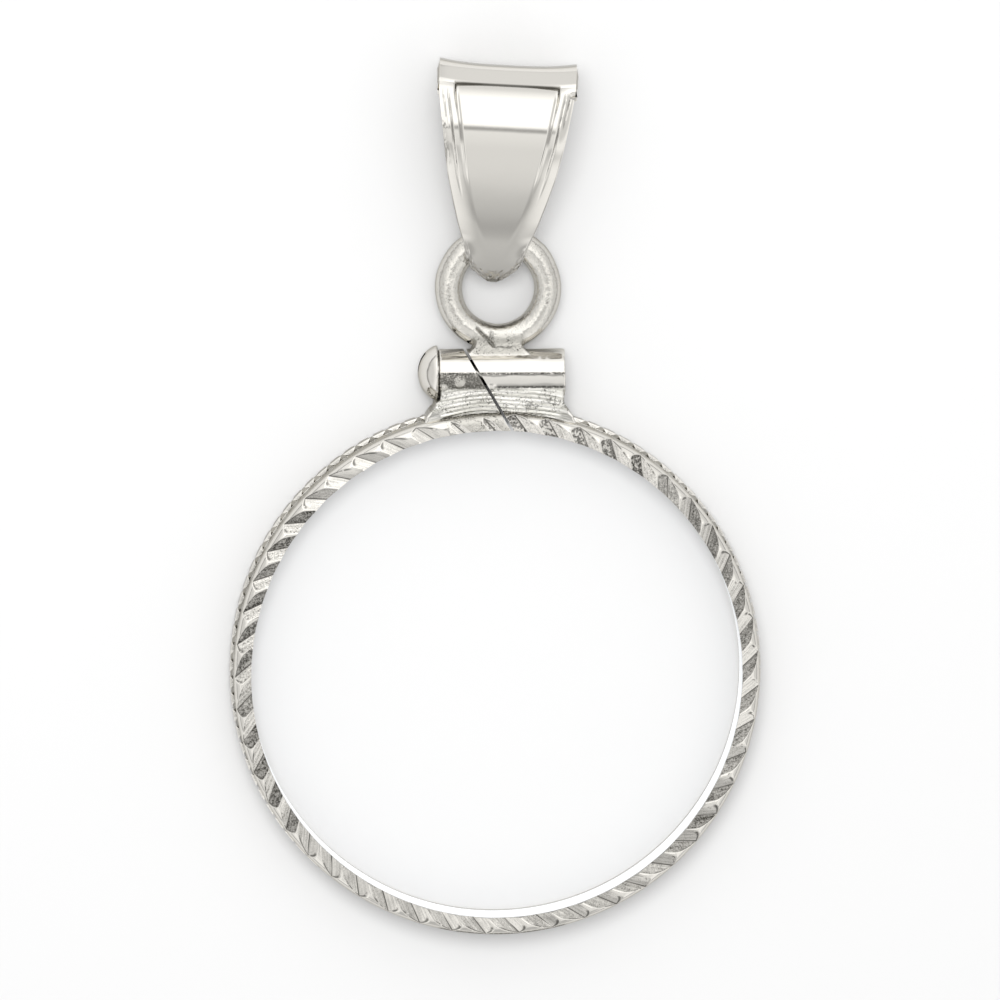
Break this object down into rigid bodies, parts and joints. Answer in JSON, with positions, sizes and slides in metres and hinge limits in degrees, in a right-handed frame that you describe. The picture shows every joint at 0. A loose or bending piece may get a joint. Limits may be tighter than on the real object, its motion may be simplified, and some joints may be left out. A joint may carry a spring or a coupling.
{
  "type": "screw-top coin bezel pendant",
  "caption": "Grooved silver ring that clamps a coin by a screw in a split tube, with a soldered jump ring and a tapered bail to hang it from a chain.",
  "frame": {"origin": "middle of the coin's seat, halfway between the two lips", "axes": "+Z along the ring's axis, out of the cut front; +Y from the ring's middle to the bail; the back of the ring lies flat at the lowest Z"},
  "size_m": [0.0186, 0.031, 0.0042],
  "materials": {
    "polished_silver": "polished sterling silver, bright-cut on the ring's front, with matt grain in the cuts and solder marks near the tube",
    "screw_silver": "polished sterling silver",
    "bail_silver": "polished sterling silver, smooth, with a rough soldered nose"
  },
  "bodies": {
    "bezel": {"bezel_frame": "polished_silver", "bail": "bail_silver"},
    "screw": {"closing_screw": "screw_silver"}
  },
  "joints": [
    {"name": "closing_screw_turn", "type": "hinge", "parent": "bezel", "child": "screw", "pos_m": [-0.00202, 0.01055, 0], "axis": [1, 0, 0], "continuous": true}
  ]
}
